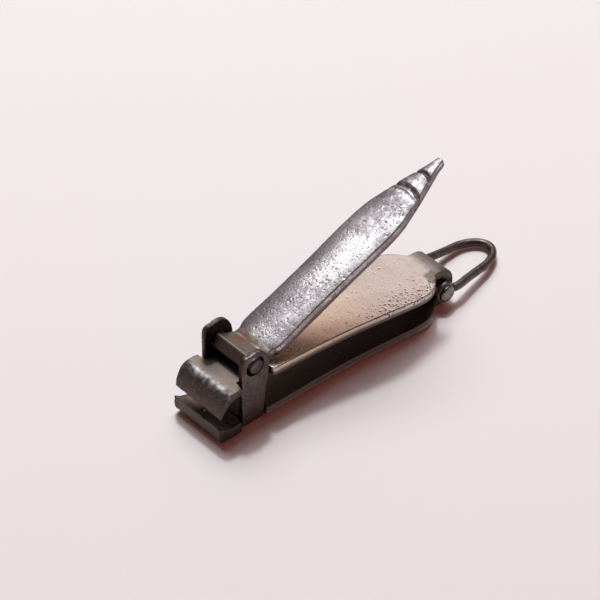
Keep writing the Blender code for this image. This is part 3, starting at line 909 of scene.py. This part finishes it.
def yoke_section():
    """The channel of the yoke, seen along the clipper."""
    bends = np.radians(np.linspace(-90.0, 0.0, 9))
    outer_y = YOKE_OUTER - BEND_OUTER
    inner_y = YOKE_INNER - BEND_INNER
    inner_z = YOKE_FLOOR + BEND_INNER
    section = [(outer_y + BEND_OUTER * math.cos(a), BEND_OUTER + BEND_OUTER * math.sin(a)) for a in bends]
    section += [(YOKE_OUTER, EAR_CUT_TOP), (YOKE_INNER, EAR_CUT_TOP)]
    section += [(inner_y + BEND_INNER * math.cos(a), inner_z + BEND_INNER * math.sin(a))
                for a in bends[::-1]]
    return section + [(-y, z) for y, z in reversed(section)]


def yoke_shape():
    far = [(5.0, 12.2), (5.02, 13.0), (5.2, 13.75), (5.62, 14.2), (6.15, 14.38), (6.55, 14.3), (7.1, 14.46),
           (7.9, 14.52), (8.8, 14.25), (9.6, 13.6), (10.2, 12.5)]
    near = [(5.0, 11.4), (5.03, 12.2), (5.2, 12.95), (5.62, 13.4), (6.2, 13.58), (6.6, 13.52), (7.1, 13.66),
            (7.9, 13.7), (8.8, 13.5), (9.6, 13.0), (10.2, 12.15)]
    piece = prism("yoke_strap", ear_outline(far), "Y", -8.0, 8.0)
    boolean(piece, prism("section", yoke_section(), "X", 2.0, 13.0), "INTERSECT")
    trim = [(3.5, 11.4), *catmull(near, 5), (10.42, 11.3), (12.0, 11.3)]
    trim += [(12.0, EAR_CUT_TOP), (3.5, EAR_CUT_TOP)]
    boolean(piece, prism("trim", trim, "Y", -9.0, -1.0), "DIFFERENCE")
    for (centre, radius), low, high in ((NEAR_HOLE, -DRILL_REACH, 0.0), (FAR_HOLE, 0.0, DRILL_REACH)):
        boolean(piece, turned("ear_hole", [(radius, low), (radius, high)], centre, 64), "DIFFERENCE")
    worn_solid(piece, FINE_VOXEL, 5)
    return piece


def yoke():
    piece = yoke_shape()
    points = points_of(piece)
    x, y, z = points.T
    outside = smoothstep(4.3, 4.6, np.abs(y))
    push(piece, 0.04 * waves(points, 3.5, 41) + 0.018 * waves(points, 0.7, 42) * outside
         + 0.012 * waves(points, 0.3, 43) * outside)
    pits(piece, outside + 1e-9, 260, (0.12, 0.36), 0.08, 44)
    # Painted shade on the inner faces of the ears.
    inside = smoothstep(4.45, 4.2, np.abs(y)) * smoothstep(2.0, 3.0, z)
    paint(piece, "grime_and_shade", 0.9 * inside)
    spot = np.exp(-((x - 5.2) / 0.6) ** 2 - ((z - 12.3) / 1.0) ** 2) * (y < 0)
    paint(piece, "rust", np.clip(spot * 0.9, 0.0, 1.0))
    keep_rest(piece)
    piece.data.materials.clear()
    steel = brown_steel("yoke_steel", (0.135, 0.108, 0.104), 0.38, (0.22, 0.18, 0.17), 2.6)
    piece.data.materials.append(steel)
    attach(piece, "base")
    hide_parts("yoke")
    return piece


# ---------------------------------------------------------------- the bail and its rivet

WIRE = 0.655                     # radius of the wire
EYE_HOLE = 0.9
# Bends of the wire's centre line from one leg round to the other: station, Y and height.
BAIL_BENDS = [
    (48.6, -3.88, 2.94), (48.95, -3.95, 2.93), (50.4, -4.05, 2.85), (52.8, -3.5, 2.55), (55.6, -2.9, 2.1),
    (58.3, -2.3, 1.7), (60.5, -1.35, 1.35), (62.0, 0.0, 1.12), (62.53, 1.4, 1.0), (62.15, 2.75, 0.95),
    (60.9, 3.9, 0.95), (58.9, 4.6, 1.05), (56.2, 4.63, 1.4), (53.2, 4.38, 2.1), (50.5, 4.2, 2.75),
    (48.95, 3.95, 2.93), (48.6, 3.88, 2.94),
]


def bail():
    route = resample(catmull(BAIL_BENDS, 8), 0.3)
    radii = WIRE + 0.012 * waves(route, 2.5, 51)
    piece = tube("bail_wire", route, radii, 22)
    for side in (-1.0, 1.0):
        low, high = sorted((side * EYE_INNER, side * EYE_OUTER))
        eye = turned("eye", [(1.3, low), (1.68, low + 0.06), (1.85, low + 0.26), (1.85, high - 0.26),
                             (1.68, high - 0.06), (1.3, high)], BAIL_AXIS, 48)
        boolean(piece, eye, "UNION")
    bore = turned("bore", [(EYE_HOLE, -DRILL_REACH), (EYE_HOLE, DRILL_REACH)], BAIL_AXIS, 48)
    boolean(piece, bore, "DIFFERENCE")
    worn_solid(piece, FINE_VOXEL, 5)
    points = points_of(piece)
    push(piece, 0.03 + 0.02 * waves(points, 1.5, 52) + 0.012 * waves(points, 0.35, 53))
    pits(piece, np.ones(len(points)), 240, (0.10, 0.28), 0.06, 54)
    keep_rest(piece)
    piece.data.materials.clear()
    steel = brown_steel("bail_steel", (0.135, 0.108, 0.10), 0.36, (0.30, 0.25, 0.23), 2.0)
    piece.data.materials.append(steel)
    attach(piece, "bail")
    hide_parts("bail")
    return piece


def bail_rivet():
    head, under, crown = 1.45, 4.38, 5.05
    dome = []
    for angle in np.radians(np.linspace(4.0, 90.0, 12)):
        bulge = math.cos(angle) ** 0.8
        dome.append((head * math.sin(angle), under + 0.12 + (crown - under - 0.12) * bulge))
    profile = dome + [(head - 0.04, under + 0.03), (0.85, under)]
    profile += [(0.81, y) for y in np.linspace(under - 0.1, 0.0, 8)]
    profile += [(r, -y) for r, y in reversed(profile[:-1])]
    piece = turned("fold_rivet", profile, BAIL_AXIS, 48)
    points = points_of(piece)
    push(piece, 0.025 * waves(points, 1.0, 61) * (np.abs(points[:, 1]) > under))
    pits(piece, np.ones(len(points)), 60, (0.08, 0.22), 0.05, 62)
    keep_rest(piece)
    steel = brown_steel("rivet_steel", (0.22, 0.185, 0.175), 0.22, (0.34, 0.3, 0.28), 1.4)
    piece.data.materials.append(steel)
    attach(piece, "base")
    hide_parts("bail_rivet")
    return piece


# ---------------------------------------------------------------- camera, floor and light

TARGET = (25.0, 0.0, 4.78)       # what the camera is aimed at
AZIMUTH = 42.681
ELEVATION = 40.960
DISTANCE = 396.9
ROLL = -0.885
LENS = 156.0
SENSOR = 36.0
SHIFT_X = -0.0365
SHIFT_Y = 0.0546
FLOOR_HALF = 3.0                 # metres
FLOOR_GAP = 0.00002              # metres that it lies under the lowest point
CLIPPER_MIDDLE = (25.0, 0.0, 5.0)


def camera():
    data = bpy.data.cameras.new("camera")
    data.lens = LENS
    data.sensor_width = SENSOR
    data.shift_x = SHIFT_X
    data.shift_y = SHIFT_Y
    data.clip_start = 0.01
    data.clip_end = 20.0
    eye = bpy.data.objects.new("camera", data)
    SCENE.collection.objects.link(eye)
    turn, tilt, roll = (math.radians(a) for a in (AZIMUTH, ELEVATION, ROLL))
    right = Vector((math.cos(turn), -math.sin(turn), 0.0))
    away = Vector((math.sin(turn), math.cos(turn), 0.0))
    ahead = math.cos(tilt) * away - math.sin(tilt) * Vector((0.0, 0.0, 1.0))
    up = right.cross(ahead)
    rolled_right = right * math.cos(roll) - up * math.sin(roll)
    rolled_up = right * math.sin(roll) + up * math.cos(roll)
    place = Matrix((rolled_right, rolled_up, -ahead)).transposed().to_4x4()
    place.translation = station(TARGET) - ahead * DISTANCE * MM
    eye.matrix_world = place
    SCENE.camera = eye


def floor():
    mesh = bpy.data.meshes.new("floor")
    corners = [(a * FLOOR_HALF, b * FLOOR_HALF, 0.0) for a, b in ((-1, -1), (1, -1), (1, 1), (-1, 1))]
    mesh.from_pydata(corners, [], [(0, 1, 2, 3)])
    obj = bpy.data.objects.new("floor", mesh)
    SCENE.collection.objects.link(obj)
    obj.location.z = cad_bounds[0][2] - FLOOR_GAP
    material = bpy.data.materials.new("floor")
    material.use_nodes = True
    shader = material.node_tree.nodes["Principled BSDF"]
    shader.inputs["Base Color"].default_value = (0.865, 0.812, 0.818, 1.0)
    shader.inputs["Roughness"].default_value = 0.75
    shader.inputs["Specular IOR Level"].default_value = 0.2
    mesh.materials.append(material)


def softbox(name, direction, distance, size, watts, colour):
    """A round area light in that direction from the clipper, facing it. Sizes are in metres."""
    data = bpy.data.lights.new(name, "AREA")
    data.shape = "DISK"
    data.size = size
    data.energy = watts
    data.color = colour
    lamp = bpy.data.objects.new(name, data)
    SCENE.collection.objects.link(lamp)
    way = Vector(direction).normalized()
    lamp.location = station(CLIPPER_MIDDLE) + way * distance
    lamp.rotation_euler = way.to_track_quat("Z", "Y").to_euler()
    return lamp


def lights():
    softbox("key", (0.26, 0.35, 1.0), 1.0, 0.09, 3.8, (0.915, 0.985, 1.0))
    softbox("window", (0.28, 0.45, 1.0), 1.0, 0.74, 6.3, (0.925, 0.97, 0.975))
    softbox("wall", (0.62, 0.55, 0.55), 1.3, 1.25, 2.7, (1.0, 0.79, 0.73))
    # A warm glow on the floor in front, and pale cards for the steel to reflect.
    glow = softbox("glow", (-0.35, -1.0, 0.7), 1.0, 1.0, 1.1, (1.0, 0.17, 0.08))
    glow.visible_glossy = False
    glow.visible_camera = False
    cards = (("card_right", (0.7, -0.75, 0.4), 3.0), ("card_left", (-0.7, 0.6, 0.5), 1.6))
    for name, direction, watts in cards:
        card = softbox(name, direction, 1.3, 1.6, watts, (1.0, 0.97, 0.96))
        card.visible_diffuse = False
        card.visible_camera = False


def surroundings():
    """A dim room, a little lighter towards the window's side."""
    world = bpy.data.worlds.new("studio")
    SCENE.world = world
    world.use_nodes = True
    tree = world.node_tree
    where = tree.nodes.new("ShaderNodeTexCoord")
    facing = tree.nodes.new("ShaderNodeVectorMath")
    facing.operation = "DOT_PRODUCT"
    facing.inputs[1].default_value = (0.45, 0.65, 0.6)
    tree.links.new(where.outputs["Generated"], facing.inputs[0])
    shade = tree.nodes.new("ShaderNodeValToRGB")
    stops = shade.color_ramp.elements
    stops[0].position = 0.0
    stops[0].color = (0.09, 0.045, 0.038, 1.0)
    stops[1].position = 0.9
    stops[1].color = (0.115, 0.09, 0.11, 1.0)
    middle = stops.new(0.45)
    middle.color = (0.055, 0.03, 0.033, 1.0)
    tree.links.new(facing.outputs["Value"], shade.inputs["Fac"])
    tree.links.new(shade.outputs["Color"], tree.nodes["Background"].inputs["Color"])


camera()
floor()
lights()
surroundings()
SCENE.view_settings.view_transform = "Standard"
body_strip()
yoke()
lever()
lever_pin()
bail()
bail_rivet()

bpy.context.view_layer.update()
